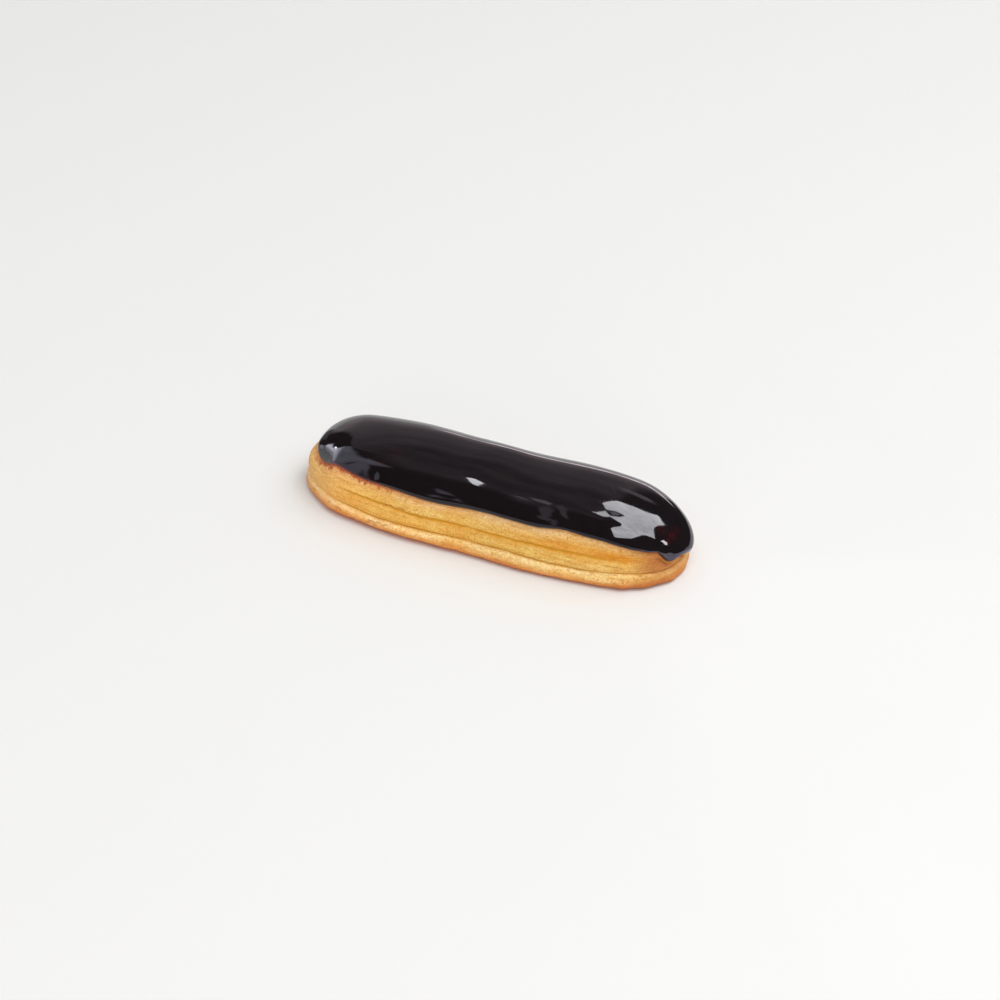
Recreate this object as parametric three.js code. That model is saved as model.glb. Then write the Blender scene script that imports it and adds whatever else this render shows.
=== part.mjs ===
// A chocolate-iced eclair: a long baked choux finger with a flat underside, a
// spread skirt and two lengthwise creases that part its side into three bands,
// and a cap of dark icing that laps down its sides and hangs lowest over the
// +X end.
// Millimetres, +X along the eclair, +Z up, the origin under the middle of its
// box on the surface it rests on. -Y is the front of the eclair.
import * as THREE from 'three';

// ---- driving sizes ---------------------------------------------------------
const SPINE = 46.85;          // half the length of the line the ends turn about
const FAN = 0.6;             // stations over which the sides ease into the ends
const SHIFT_X = -1.851;      // puts the middle of the box over the origin
const SHIFT_Y = 0.934;
const SIDE_STEPS = 24;       // facets along each long side
const END_STEPS = 16;        // facets round each half-round end
const SKIRT_Z = 1.6;         // height of the widest line of the skirt
const CREASE_IN_LOW = 1.35;  // inset of the wall at the lower crease
const CREASE_IN_HIGH = 1.8;  // inset of the wall at the upper crease
const CREASE_WIDTH = 0.5;   // half width of a crease
const BELLY_MID = 0.42;      // how far the middle band swells out
const BELLY_UP = 0.42;       // how far the upper band swells out
const ICING = 1.5;           // icing thickness over the ridge
const LIP_UP = 0.9;          // height of the icing's rounded edge
const LIP_MIN = 0.95;        // thinnest edge of the icing
const GAP = 0.3;             // clearance between icing and choux

// Heights of the iced ridge, every RIDGE_STEP from RIDGE_START along the eclair.
// These and the tables below are control values of smooth curves, so a curve
// passes near them rather than through them.
const RIDGE_START = -72;
const RIDGE_STEP = 12;
const RIDGE = [18.34, 21.98, 24.82, 27.13, 28.08, 27.54, 28.33, 26.55, 26.94, 26.93, 24.76, 21.24, 18.19];

// Sizes round the plan outline, at sixteen stations: 0 to 4 run along the -Y
// side towards +X, 4 to 8 round the +X end, 8 to 12 back along the +Y side,
// and 12 to 16 round the -X end.
const REACH = [17.89, 21.68, 20.17, 22.27, 19.44, 20.41, 24.39, 21.17, 19.79, 20.33, 19.36, 20.52, 19.02, 18.8, 22.48, 15.28];
const EDGE_Z = [19.09, 15.66, 16.68, 17, 18.16, 14.36, 5.84, 11.39, 17.12, 16.55, 15.13, 16.96, 18.23, 17.93, 13.93, 14.87];
const EDGE_IN = [0.798, 0.839, 0.811, 0.819, 0.829, 0.881, 1.036, 0.922, 0.812, 0.809, 0.793, 0.83, 0.818, 0.837, 0.701, 0.804];
const HIGH_Z = [10.91, 10.66, 9.76, 10.9, 11.46, 10.74, 10.68, 10.75, 10.96, 10.65, 10.24, 10.42, 10.66, 10.38, 10.67, 10.63];
const LOW_Z = [5.26, 4.19, 5.77, 4.93, 5.25, 5.23, 5.77, 5.41, 5.22, 5.14, 5.19, 4.84, 5.19, 5.66, 6.34, 5.7];
const CREASE_FADE = [1, 1, 1, 1, 1, 1, 1, 1, 1, 1, 1, 1, 1, 0.85, 0.8, 0.85];
const HIGH_DEPTH = [0.1, 0.65, 0.7, 0.6, 0.15, 0, 0, 0, 0.1, 0.4, 0.6, 0.6, 0.4, 0.2, 0.1, 0.05];
const LOW_DEPTH = [0.35, 0.6, 0.7, 0.7, 0.7, 0.7, 0.6, 0.6, 0.6, 0.7, 0.7, 0.6, 0.4, 0.3, 0.2, 0.2];
// How far the skirt's foot spreads past the reach, and how far the flat
// underside stays in from its widest line.
const FOOT_OUT = [0.8, 0.8, 0.8, 0.8, 0.7, 0.3, 0, 0, 0.2, 0.3, 0.3, 0.3, 0.2, 0, 0, 0.3];
const UNDER_IN = [1.2, 1.0, 1.0, 1.0, 1.4, 2.8, 3.4, 3.2, 2.4, 2.0, 2.0, 2.0, 2.4, 3.2, 3.4, 2.8];
const LIP = [0.7, 0.8, 0.9, 0.9, 1.0, 1.3, 1.5, 1.3, 1.0, 0.9, 0.9, 0.8, 0.7, 0.5, 0.4, 0.5];

// Small waves of the icing's edge: station, half width, rise. The fifteenth
// and sixteenth are the two sides of the drip near the +X tip.
const EDGE_WAVES = [
  [14.2, 0.3, 0.79], [14.7, 0.3, -0.5], [15.2, 0.3, -0.33], [15.7, 0.3, 0.83],
  [0.3, 0.3, -0.6], [0.9, 0.35, 0.36], [1.5, 0.3, -0.24], [2.0, 0.2, 0.19],
  [2.3, 0.18, 0.24], [3.0, 0.25, -0.33], [3.4, 0.25, 0.78], [3.8, 0.25, -0.17],
  [4.2, 0.25, -0.12], [4.9, 0.16, 0.55], [5.2, 0.16, 1.77], [5.45, 0.16, -1.8],
  [5.7, 0.2, 0.78], [6.0, 0.25, -0.25],
];
const WAVE_FADE = 0.5;       // how far up the dome, in radians, the waves are felt

// ---- smooth reading of the tables ------------------------------------------
function spline(p0, p1, p2, p3, t) {
  const u = 1 - t;
  return (u ** 3 * p0 + (3 * t ** 3 - 6 * t ** 2 + 4) * p1
    + (3 * u ** 3 - 6 * u ** 2 + 4) * p2 + t ** 3 * p3) / 6;
}

function round(table, station) {
  const n = table.length;
  const i = Math.floor(station);
  const at = (k) => table[((k % n) + n) % n];
  return spline(at(i - 1), at(i), at(i + 1), at(i + 2), station - i);
}

function ridgeHeight(x) {
  const n = RIDGE.length;
  const s = Math.min(Math.max((x - RIDGE_START) / RIDGE_STEP, 0), n - 1 - 1e-9);
  const i = Math.floor(s);
  const at = (k) => (k < 0 ? 2 * RIDGE[0] - RIDGE[1]
    : k > n - 1 ? 2 * RIDGE[n - 1] - RIDGE[n - 2] : RIDGE[k]);
  return spline(at(i - 1), at(i), at(i + 1), at(i + 2), s - i);
}

// 0 before -FAN, t after FAN, and smooth between.
function ease(t) {
  if (t > FAN) return t;
  const u = Math.max((t + FAN) / (2 * FAN), 0);
  return 2 * FAN * (u ** 3 - u ** 4 / 2);
}

function waves(w) {
  let rise = 0;
  for (const [at, half, height] of EDGE_WAVES) {
    const d = ((w - at + 24) % 16) - 8;
    rise += height * Math.exp(-((d / half) ** 2));
  }
  return rise;
}

// ---- plan stations ---------------------------------------------------------
// Each station stands on the spine and looks outwards; the profile at that
// station is a list of (reach, height) pairs.
function station(w) {
  const x = -SPINE + (SPINE / 2)
    * (ease(w) - ease(w - 4) - ease(w - 8) + ease(w - 12) + ease(w - 16));
  const turn = -90 + 45
    * (ease(w - 4) - ease(w - 8) + ease(w - 12) - ease(w - 16) - ease(-w));
  const a = turn * Math.PI / 180;
  const reach = round(REACH, w);
  const base = round(EDGE_Z, w);
  const wave = waves(w);
  const highZ = Math.min(round(HIGH_Z, w), base + wave - 1.6);
  return {
    x,
    out: [Math.cos(a), Math.sin(a)],
    reach,
    base,
    wave,
    edgeZ: base + wave,
    edgeR: reach * round(EDGE_IN, w),
    highZ,
    lowZ: Math.min(round(LOW_Z, w), highZ - 1.6),
    fade: round(CREASE_FADE, w),
    foot: round(FOOT_OUT, w),
    under: round(UNDER_IN, w),
    highDepth: Math.max(round(HIGH_DEPTH, w), 0),
    lowDepth: Math.max(round(LOW_DEPTH, w), 0),
    lip: Math.max(round(LIP, w), LIP_MIN),
  };
}

const stations = [];
for (let side = 0; side < 4; side += 1) {
  const steps = side % 2 ? END_STEPS : SIDE_STEPS;
  for (let k = 0; k < steps; k += 1) stations.push(station(side * 4 + (4 * k) / steps));
}
const COUNT = stations.length;

// ---- profiles --------------------------------------------------------------
function wallReach(s, z) {
  const low = CREASE_IN_LOW * s.fade;
  const high = CREASE_IN_HIGH * s.fade;
  let inset;
  if (z < SKIRT_Z) {
    const t = 1 - z / SKIRT_Z;
    inset = s.under * (1 - Math.sqrt(Math.max(1 - t * t, 0))) - s.foot;
  } else if (z < s.lowZ) {
    inset = (low + s.foot) * ((z - SKIRT_Z) / (s.lowZ - SKIRT_Z)) ** 1.35 - s.foot;
  } else if (z < s.highZ) {
    const t = (z - s.lowZ) / (s.highZ - s.lowZ);
    inset = low + (high - low) * t - BELLY_MID * Math.sin(Math.PI * t) ** 0.8;
  } else {
    const t = Math.min((z - s.highZ) / (s.edgeZ - s.highZ), 1);
    inset = high + (s.reach - s.edgeR - high) * t ** 1.25
      - BELLY_UP * Math.max(Math.sin(Math.PI * t), 0) ** 0.9;
  }
  inset += s.lowDepth * Math.exp(-(((z - s.lowZ) / CREASE_WIDTH) ** 2));
  inset += s.highDepth * Math.exp(-(((z - s.highZ) / CREASE_WIDTH) ** 2));
  return s.reach - inset;
}

// The side of the choux from the rim of its flat underside to the icing's edge.
function wallProfile(s) {
  const heights = [0, 0.15, 0.5, 1, SKIRT_Z];
  for (const t of [0.25, 0.55, 0.8]) heights.push(SKIRT_Z + (s.lowZ - SKIRT_Z) * t);
  heights.push(s.lowZ);
  for (const t of [0.16, 0.5, 0.84]) heights.push(s.lowZ + (s.highZ - s.lowZ) * t);
  heights.push(s.highZ);
  for (const t of [0.16, 0.4, 0.7, 0.9]) heights.push(s.highZ + (s.edgeZ - s.highZ) * t);
  return heights.map((z) => [wallReach(s, z), z]);
}

// A quarter dome from the given reach, `rise` above the icing's edge, up to
// `below` the iced ridge, left open at the ridge.
function dome(s, reach, rise, below, steps) {
  const points = [];
  for (let k = 0; k < steps; k += 1) {
    const t = (k / steps) * Math.PI / 2;
    const r = reach * Math.cos(t);
    const foot = s.base + rise;
    const top = ridgeHeight(s.x + s.out[0] * r) - below;
    points.push([
      r,
      foot + (top - foot) * Math.sin(t) + s.wave * Math.max(1 - t / WAVE_FADE, 0) ** 2,
    ]);
  }
  return points;
}

function chouxProfile(s) {
  return [...wallProfile(s), ...dome(s, s.edgeR, 0, ICING, 9)];
}

// The icing's section, from its inner face at the ridge, down inside, round
// the edge, and up its outer face.
function icingInside(s) {
  return dome(s, s.edgeR + GAP, 0.25, ICING - GAP, 9);
}

function icingOutside(s) {
  return [
    [s.edgeR + GAP + 0.7 * (s.lip - GAP), s.edgeZ + 0.3],
    ...dome(s, s.edgeR + s.lip, LIP_UP, 0, 10),
  ];
}

// ---- meshing ---------------------------------------------------------------
class Shell {
  constructor() {
    this.points = [];
    this.faces = [];
  }

  vertex(x, y, z) {
    this.points.push(x + SHIFT_X, y + SHIFT_Y, z);
    return this.points.length / 3 - 1;
  }

  // One closed loop of vertices for every pair in the profile.
  loops(profile) {
    const rows = stations.map(profile);
    return rows[0].map((_, j) => stations.map((s, i) => this.vertex(
      s.x + s.out[0] * rows[i][j][0], s.out[1] * rows[i][j][0], rows[i][j][1],
    )));
  }

  face(a, b, c, flip) {
    if (a === b || b === c || c === a) return;
    this.faces.push(...(flip ? [a, c, b] : [a, b, c]));
  }

  band(lower, upper, flip) {
    for (let i = 0; i < COUNT; i += 1) {
      const k = (i + 1) % COUNT;
      this.face(lower[i], lower[k], upper[k], flip);
      this.face(lower[i], upper[k], upper[i], flip);
    }
  }

  // Both long sides share the vertices of the ridge; each end meets its tip.
  // `below` is how far this surface lies under the iced ridge.
  ridge(below) {
    const tip = COUNT - END_STEPS / 2;
    const tops = [];
    let last = null;
    for (let m = 0; m <= COUNT / 2; m += 1) {
      const x = stations[(tip + m) % COUNT].x;
      if (last === null || Math.abs(x - last.x) > 0.3) {
        last = { x, id: this.vertex(x, 0, ridgeHeight(x) - below) };
      }
      tops[(tip + m) % COUNT] = last.id;
      tops[(tip - m + COUNT) % COUNT] = last.id;
    }
    return tops;
  }

  // The flat underside, zipped across from the -X tip to the +X tip.
  underside(loop) {
    const tip = COUNT - END_STEPS / 2;
    const at = (k) => loop[(((tip + k) % COUNT) + COUNT) % COUNT];
    for (let k = 0; k < COUNT / 2; k += 1) {
      this.face(at(k), at(-k), at(-k - 1), false);
      this.face(at(k), at(-k - 1), at(k + 1), false);
    }
  }

  geometry() {
    const g = new THREE.BufferGeometry();
    g.setAttribute('position', new THREE.Float32BufferAttribute(this.points, 3));
    g.setIndex(this.faces);
    g.computeVertexNormals();
    return g;
  }
}

function chouxGeometry() {
  const shell = new Shell();
  const rows = shell.loops(chouxProfile);
  shell.underside(rows[0]);
  for (let j = 0; j + 1 < rows.length; j += 1) shell.band(rows[j], rows[j + 1], false);
  shell.band(rows[rows.length - 1], shell.ridge(ICING), false);
  return shell.geometry();
}

function icingGeometry() {
  const shell = new Shell();
  const inside = shell.loops(icingInside);
  const outside = shell.loops(icingOutside);
  for (let j = 0; j + 1 < inside.length; j += 1) shell.band(inside[j], inside[j + 1], true);
  shell.band(inside[inside.length - 1], shell.ridge(ICING - GAP), true);
  shell.band(inside[0], outside[0], false);
  for (let j = 0; j + 1 < outside.length; j += 1) shell.band(outside[j], outside[j + 1], false);
  shell.band(outside[outside.length - 1], shell.ridge(0), false);
  return shell.geometry();
}

// ---- the eclair ------------------------------------------------------------
const eclair = new THREE.Group();

const choux = new THREE.Mesh(
  chouxGeometry(),
  new THREE.MeshStandardMaterial({ color: 0xe0a95c, roughness: 0.75, metalness: 0 }),
);
choux.name = 'choux';
eclair.add(choux);

const icing = new THREE.Mesh(
  icingGeometry(),
  new THREE.MeshStandardMaterial({ color: 0x151013, roughness: 0.12, metalness: 0 }),
);
icing.name = 'icing';
eclair.add(icing);

export default eclair;
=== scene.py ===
# A chocolate-iced eclair: a baked choux finger with a spread skirt and two
# lengthwise creases, under a cap of glossy dark icing with a wavy edge.
# Millimetres in the tables and functions, metres in the meshes.
import bpy
import math
import numpy as np
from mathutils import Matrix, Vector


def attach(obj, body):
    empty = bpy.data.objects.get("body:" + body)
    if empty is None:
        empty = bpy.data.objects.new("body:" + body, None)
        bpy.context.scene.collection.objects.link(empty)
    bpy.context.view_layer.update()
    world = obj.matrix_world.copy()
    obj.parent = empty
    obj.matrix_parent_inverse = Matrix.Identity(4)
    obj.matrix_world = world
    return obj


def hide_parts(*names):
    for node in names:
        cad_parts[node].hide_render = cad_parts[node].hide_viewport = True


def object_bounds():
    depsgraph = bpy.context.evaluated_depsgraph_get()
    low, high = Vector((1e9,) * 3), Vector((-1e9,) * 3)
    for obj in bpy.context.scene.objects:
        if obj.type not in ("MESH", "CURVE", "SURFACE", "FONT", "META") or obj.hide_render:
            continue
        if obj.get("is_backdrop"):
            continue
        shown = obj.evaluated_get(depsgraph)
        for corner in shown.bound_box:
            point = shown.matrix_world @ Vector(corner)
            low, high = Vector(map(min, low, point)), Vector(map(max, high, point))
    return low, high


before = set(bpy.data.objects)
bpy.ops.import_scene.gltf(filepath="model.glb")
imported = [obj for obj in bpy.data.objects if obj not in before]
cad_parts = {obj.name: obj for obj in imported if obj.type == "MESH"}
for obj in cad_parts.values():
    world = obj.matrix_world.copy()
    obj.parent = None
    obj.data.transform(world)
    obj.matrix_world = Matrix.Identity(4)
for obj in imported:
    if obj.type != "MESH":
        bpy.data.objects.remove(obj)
cad_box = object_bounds()

MM = 0.001

# ---------------------------------------------------------------- sizes -----
SPINE = 46.85
FAN = 0.6
SHIFT = (-1.851, 0.934)
SKIRT_Z = 1.6
CREASE_IN_LOW = 1.35
CREASE_IN_HIGH = 1.8
BELLY_MID = 0.42
BELLY_UP = 0.42
ICING = 1.5

RIDGE_START, RIDGE_STEP = -72.0, 12.0
RIDGE = [18.34, 21.98, 24.82, 27.13, 28.08, 27.54, 28.33, 26.55, 26.94, 26.93, 24.76, 21.24, 18.19]
REACH = [17.89, 21.68, 20.17, 22.27, 19.44, 20.41, 24.39, 21.17, 19.79, 20.33, 19.36, 20.52, 19.02, 18.8, 22.48, 15.28]
EDGE_Z = [19.09, 15.66, 16.68, 17, 18.16, 14.36, 5.84, 11.39, 17.12, 16.55, 15.13, 16.96, 18.23, 17.93, 13.93, 14.87]
EDGE_IN = [0.798, 0.839, 0.811, 0.819, 0.829, 0.881, 1.036, 0.922, 0.812, 0.809, 0.793, 0.83, 0.818, 0.837, 0.701, 0.804]
HIGH_Z = [10.91, 10.66, 9.76, 10.9, 11.46, 10.74, 10.68, 10.75, 10.96, 10.65, 10.24, 10.42, 10.66, 10.38, 10.67, 10.63]
LOW_Z = [5.26, 4.19, 5.77, 4.93, 5.25, 5.23, 5.77, 5.41, 5.22, 5.14, 5.19, 4.84, 5.19, 5.66, 6.34, 5.7]
CREASE_FADE = [1, 1, 1, 1, 1, 1, 1, 1, 1, 1, 1, 1, 1, 0.85, 0.8, 0.85]
HIGH_DEPTH = [0.1, 0.65, 0.7, 0.6, 0.15, 0, 0, 0, 0.1, 0.4, 0.6, 0.6, 0.4, 0.2, 0.1, 0.05]
LOW_DEPTH = [0.35, 0.6, 0.7, 0.7, 0.7, 0.7, 0.6, 0.6, 0.6, 0.7, 0.7, 0.6, 0.4, 0.3, 0.2, 0.2]
FOOT_OUT = [1.1, 1.1, 1.1, 1.1, 0.9, 0.4, 0, 0, 0.2, 0.3, 0.3, 0.3, 0.2, 0, 0.1, 0.5]
UNDER_IN = [3.4, 3.2, 3.0, 3.0, 3.2, 3.6, 3.8, 3.6, 2.8, 2.6, 2.6, 2.6, 3.0, 4.0, 4.8, 4.4]
RIM_Z = [2.0, 2.1, 1.6, 1.3, 1.5, 1.5, 1.2, 1.0, 1.0, 1.1, 1.2, 1.1, 1.2, 1.5, 1.8, 1.9]
LIP = [0.7, 0.8, 0.9, 0.9, 1.0, 1.3, 1.5, 1.3, 1.0, 0.9, 0.9, 0.8, 0.7, 0.5, 0.4, 0.5]
EDGE_WAVES = [
    (14.2, 0.3, 0.79), (14.7, 0.3, -0.5), (15.2, 0.3, -0.33), (15.7, 0.3, 0.83),
    (0.3, 0.3, -0.6), (0.9, 0.35, 0.36), (1.5, 0.3, -0.24), (2.0, 0.2, 0.19),
    (2.3, 0.18, 0.24), (3.0, 0.25, -0.33), (3.4, 0.25, 0.78), (3.8, 0.25, -0.17),
    (4.2, 0.25, -0.12), (4.9, 0.16, 0.55), (5.2, 0.16, 1.77), (5.45, 0.16, -1.8),
    (5.7, 0.2, 0.78), (6.0, 0.25, -0.25),
]
WAVE_FADE = 0.5


# ------------------------------------------------------- reading the tables -
def spline(p0, p1, p2, p3, t):
    u = 1 - t
    return (u ** 3 * p0 + (3 * t ** 3 - 6 * t ** 2 + 4) * p1
            + (3 * u ** 3 - 6 * u ** 2 + 4) * p2 + t ** 3 * p3) / 6


def ring(table, w):
    table = np.asarray(table, float)
    n = len(table)
    i = np.floor(w).astype(int)
    return spline(table[(i - 1) % n], table[i % n], table[(i + 1) % n], table[(i + 2) % n], w - i)


def ridge_height(x):
    n = len(RIDGE)
    s = np.clip((np.asarray(x, float) - RIDGE_START) / RIDGE_STEP, 0, n - 1 - 1e-9)
    i = np.floor(s).astype(int)
    ext = np.concatenate([[2 * RIDGE[0] - RIDGE[1]], RIDGE, [2 * RIDGE[-1] - RIDGE[-2]]])
    return spline(ext[i], ext[i + 1], ext[i + 2], ext[i + 3], s - i)


def ease(t):
    u = np.clip((t + FAN) / (2 * FAN), 0, 1)
    return np.where(t > FAN, t, 2 * FAN * (u ** 3 - u ** 4 / 2))


def near(w, at, half):
    d = (w - at + 24) % 16 - 8
    return np.exp(-(d / half) ** 2)


def smooth(a, b, x):
    t = np.clip((x - a) / (b - a), 0, 1)
    return t * t * (3 - 2 * t)


# ------------------------------------------------------------ value noise ---
def _hash(ix, iy, iz, seed):
    h = (ix.astype(np.int64) * 374761393 + iy.astype(np.int64) * 668265263
         + iz.astype(np.int64) * 2147483647 + seed * 1274126177) & 0xFFFFFFFF
    h = ((h ^ (h >> 13)) * 1274126177) & 0xFFFFFFFF
    h = ((h ^ (h >> 16)) * 2246822519) & 0xFFFFFFFF
    h = h ^ (h >> 15)
    return (h & 0xFFFFFF) / float(0xFFFFFF) * 2 - 1


def noise(x, y, z, seed=0, period=None):
    """Smooth noise in -1..1; period, in cells, closes it along x."""
    x, y, z = np.broadcast_arrays(np.asarray(x, float), np.asarray(y, float), np.asarray(z, float))
    ix, iy, iz = np.floor(x), np.floor(y), np.floor(z)
    fx, fy, fz = x - ix, y - iy, z - iz
    fx, fy, fz = (f * f * f * (f * (f * 6 - 15) + 10) for f in (fx, fy, fz))
    out = 0
    for dx in (0, 1):
        gx = fx if dx else 1 - fx
        cx = ix + dx
        if period:
            cx = np.mod(cx, period)
        for dy in (0, 1):
            gy = fy if dy else 1 - fy
            for dz in (0, 1):
                gz = fz if dz else 1 - fz
                out = out + gx * gy * gz * _hash(cx, iy + dy, iz + dz, seed)
    return out


def layers(x, y, z, seed, count=3, period=None, gain=0.5):
    total, amp, k = 0, 1.0, 1
    for n in range(count):
        total = total + amp * noise(x * k, y * k, z * k, seed + 17 * n, period * k if period else None)
        amp *= gain
        k *= 2
    return total


# ---------------------------------------------------------------- stations --
def stations(side, end):
    w = np.concatenate([np.arange(side) / side * 4, 4 + np.arange(end) / end * 4,
                        8 + np.arange(side) / side * 4, 12 + np.arange(end) / end * 4])
    x = -SPINE + SPINE / 2 * (ease(w) - ease(w - 4) - ease(w - 8) + ease(w - 12) + ease(w - 16))
    turn = np.radians(-90 + 45 * (ease(w - 4) - ease(w - 8) + ease(w - 12) - ease(w - 16) - ease(-w)))
    s = {"w": w, "x": x, "nx": np.cos(turn), "ny": np.sin(turn), "side": side, "end": end}
    s["reach"] = ring(REACH, w)
    s["base"] = ring(EDGE_Z, w)
    s["wave"] = sum(h * near(w, a, b) for a, b, h in EDGE_WAVES)
    s["edge_z"] = s["base"] + s["wave"]
    s["edge_r"] = s["reach"] * ring(EDGE_IN, w)
    s["high_z"] = np.minimum(ring(HIGH_Z, w), s["edge_z"] - 1.6)
    s["low_z"] = np.minimum(ring(LOW_Z, w), s["high_z"] - 1.6)
    s["fade"] = ring(CREASE_FADE, w)
    s["under"] = ring(UNDER_IN, w)
    s["foot"] = ring(FOOT_OUT, w)
    s["rim"] = ring(RIM_Z, w)
    s["skirt"] = np.maximum(SKIRT_Z, s["rim"] + 0.4)
    s["high_d"] = np.maximum(ring(HIGH_DEPTH, w), 0)
    s["low_d"] = np.maximum(ring(LOW_DEPTH, w), 0)
    s["lip"] = ring(LIP, w)
    # way round the outline, for textures that run along the eclair
    px = x + s["nx"] * s["reach"]
    py = s["ny"] * s["reach"]
    step = np.hypot(np.roll(px, -1) - px, np.roll(py, -1) - py)
    s["per"] = step.sum()
    s["len"] = np.concatenate([[0], np.cumsum(step)[:-1]])
    return s


def wall_reach(s, z, width=0.3):
    low = CREASE_IN_LOW * s["fade"]
    high = CREASE_IN_HIGH * s["fade"]
    # A thin baked rim stands a little off the floor; the underside draws in below.
    t = np.clip(1 - z / s["skirt"], 0, 1)
    knee = 1 - s["rim"] / s["skirt"]
    under = np.where(t < knee, 0.36 * (t / knee) ** 2,
                     0.36 + (s["under"] - 0.36) * (np.maximum(t - knee, 0) / (1 - knee)) ** 0.9) - s["foot"]
    t = np.clip((z - s["skirt"]) / (s["low_z"] - s["skirt"]), 0, 1)
    skirt = (low + s["foot"]) * t ** 1.35 - s["foot"]
    t = np.clip((z - s["low_z"]) / (s["high_z"] - s["low_z"]), 0, 1)
    mid = low + (high - low) * t - BELLY_MID * np.sin(np.pi * t) ** 0.8
    t = np.clip((z - s["high_z"]) / (s["edge_z"] - s["high_z"]), 0, 1)
    up = high + (s["reach"] - s["edge_r"] - high) * t ** 1.25 - BELLY_UP * np.abs(np.sin(np.pi * t)) ** 0.9
    inset = np.where(z < s["skirt"], under, np.where(z < s["low_z"], skirt, np.where(z < s["high_z"], mid, up)))
    inset = inset + s["low_d"] * np.exp(-np.abs((z - s["low_z"]) / width) ** 1.5)
    inset = inset + s["high_d"] * np.exp(-np.abs((z - s["high_z"]) / width) ** 1.5)
    return s["reach"] - inset


# ------------------------------------------------------------------ meshes --
def loft(name, rows, s, below, bottom):
    """rows: list of (r, z) arrays, from the lowest loop to the last before the
    ridge, which lies `below` the iced ridge. bottom: 'flat' zips the first loop
    across; otherwise it is a list of further rows, going up the inside from the
    first loop, closed by its own ridge."""
    side, end = s["side"], s["end"]
    count = len(s["w"])
    verts, faces = [], []

    def add_rows(rr):
        base = sum(len(v) for v in verts)
        for r, z in rr:
            verts.append(np.stack([s["x"] + s["nx"] * r + SHIFT[0], s["ny"] * r + SHIFT[1],
                                   z + 0 * s["x"]], -1))
        return base

    def add_ridge(below):
        tip = count - end // 2
        tops = np.zeros(count, int)
        base = sum(len(v) for v in verts)
        feet = []
        for m in range(count // 2 + 1):
            x = s["x"][(tip + m) % count]
            if not feet or abs(x - feet[-1]) > 0.12:
                feet.append(x)
            tops[(tip + m) % count] = tops[(tip - m) % count] = base + len(feet) - 1
        x = np.array(feet)
        verts.append(np.stack([x + SHIFT[0], 0 * x + SHIFT[1], ridge_height(x) - below], -1))
        return tops

    def bands(base, n, flip):
        i = np.arange(count)
        k = (i + 1) % count
        for j in range(n - 1):
            a, b = base + j * count, base + (j + 1) * count
            q = np.stack([a + i, a + k, b + k, b + i], -1)
            faces.append(q[:, ::-1] if flip else q)

    def close(loop, tops, flip):
        i = np.arange(count)
        k = (i + 1) % count
        same = tops[i] == tops[k]
        q = np.stack([loop + i, loop + k, tops[k], tops[i]], -1)[~same]
        t = np.stack([loop + i, loop + k, tops[i]], -1)[same]
        faces.append(q[:, ::-1] if flip else q)
        faces.append(t[:, ::-1] if flip else t)

    b0 = add_rows(rows)
    bands(b0, len(rows), False)
    close(b0 + (len(rows) - 1) * count, add_ridge(below[0]), False)
    if bottom == "flat":
        tip = count - end // 2
        at = lambda k: b0 + (tip + k) % count
        k = np.arange(1, count // 2 - 1)
        faces.append(np.stack([at(k), at(-k), at(-k - 1), at(k + 1)], -1))
        faces.append(np.array([[at(0), at(-1), at(1)]]))
        m = count // 2
        faces.append(np.array([[at(m - 1), at(1 - m), at(m)]]))
    else:
        b1 = add_rows(bottom)
        i = np.arange(count)
        k = (i + 1) % count
        faces.append(np.stack([b0 + i, b0 + k, b1 + k, b1 + i], -1)[:, ::-1])
        bands(b1, len(bottom), True)
        close(b1 + (len(bottom) - 1) * count, add_ridge(below[1]), True)
    v = np.concatenate(verts) * MM
    mesh = bpy.data.meshes.new(name)
    polys = [f.tolist() for f in faces]
    mesh.from_pydata(v.tolist(), [], [p for f in polys for p in f])
    mesh.update()
    mesh.shade_smooth()
    obj = bpy.data.objects.new(name, mesh)
    bpy.context.scene.collection.objects.link(obj)
    return obj, len(v)


def attribute(obj, name, values):
    a = obj.data.attributes.new(name, "FLOAT", "POINT")
    full = np.zeros(len(obj.data.vertices), np.float32)
    full[:len(values)] = values
    a.data.foreach_set("value", full)


# ------------------------------------------------------------------- choux --
S = stations(226, 150)
W, LEN, PER = S["w"], S["len"], S["per"]

# The rim and the creases wander a little.
S["rim"] = S["rim"] + 0.14 * noise(LEN / 4.2, 0, 0, 17) + 0.07 * noise(LEN / 1.4, 0, 0, 18)
wander = noise(LEN / PER * 26, 0, 0, 5, 26) * 0.34 + noise(LEN / PER * 70, 0, 0, 6, 70) * 0.07
torn = noise(LEN / 1.6, 0, 0, 15) * 0.10 + noise(LEN / 0.7, 0, 0, 16) * 0.06
S["low_z"] = S["low_z"] + wander * 0.8 + torn + 0.9 * near(W, 4.6, 0.5)
wander = noise(LEN / PER * 24, 0, 0, 7, 24) * 0.46 + noise(LEN / PER * 64, 0, 0, 8, 64) * 0.10
S["high_z"] = S["high_z"] + wander * 0.8 + torn * 1.4
S["low_d"] = S["low_d"] * (0.36 + 0.25 * noise(LEN / PER * 40, 0, 0, 9, 40))
S["high_d"] = S["high_d"] * (0.3 + 0.2 * noise(LEN / PER * 36, 0, 0, 10, 36))


def spread(n, mix=0.6):
    lin = np.arange(n) / n
    return (1 - mix) * lin + mix * (0.5 - 0.5 * np.cos(np.pi * lin))


heights = []
for t in np.arange(18) / 18:
    heights.append(S["skirt"] * t)
for t in spread(14, 0.3):
    heights.append(S["skirt"] + (S["low_z"] - S["skirt"]) * t)
for t in spread(32):
    heights.append(S["low_z"] + (S["high_z"] - S["low_z"]) * t)
for t in np.append(spread(38, 0.45), 1.0):
    heights.append(S["high_z"] + (S["edge_z"] - S["high_z"]) * t)
heights = np.array(heights)
reaches = wall_reach(S, heights)

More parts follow.
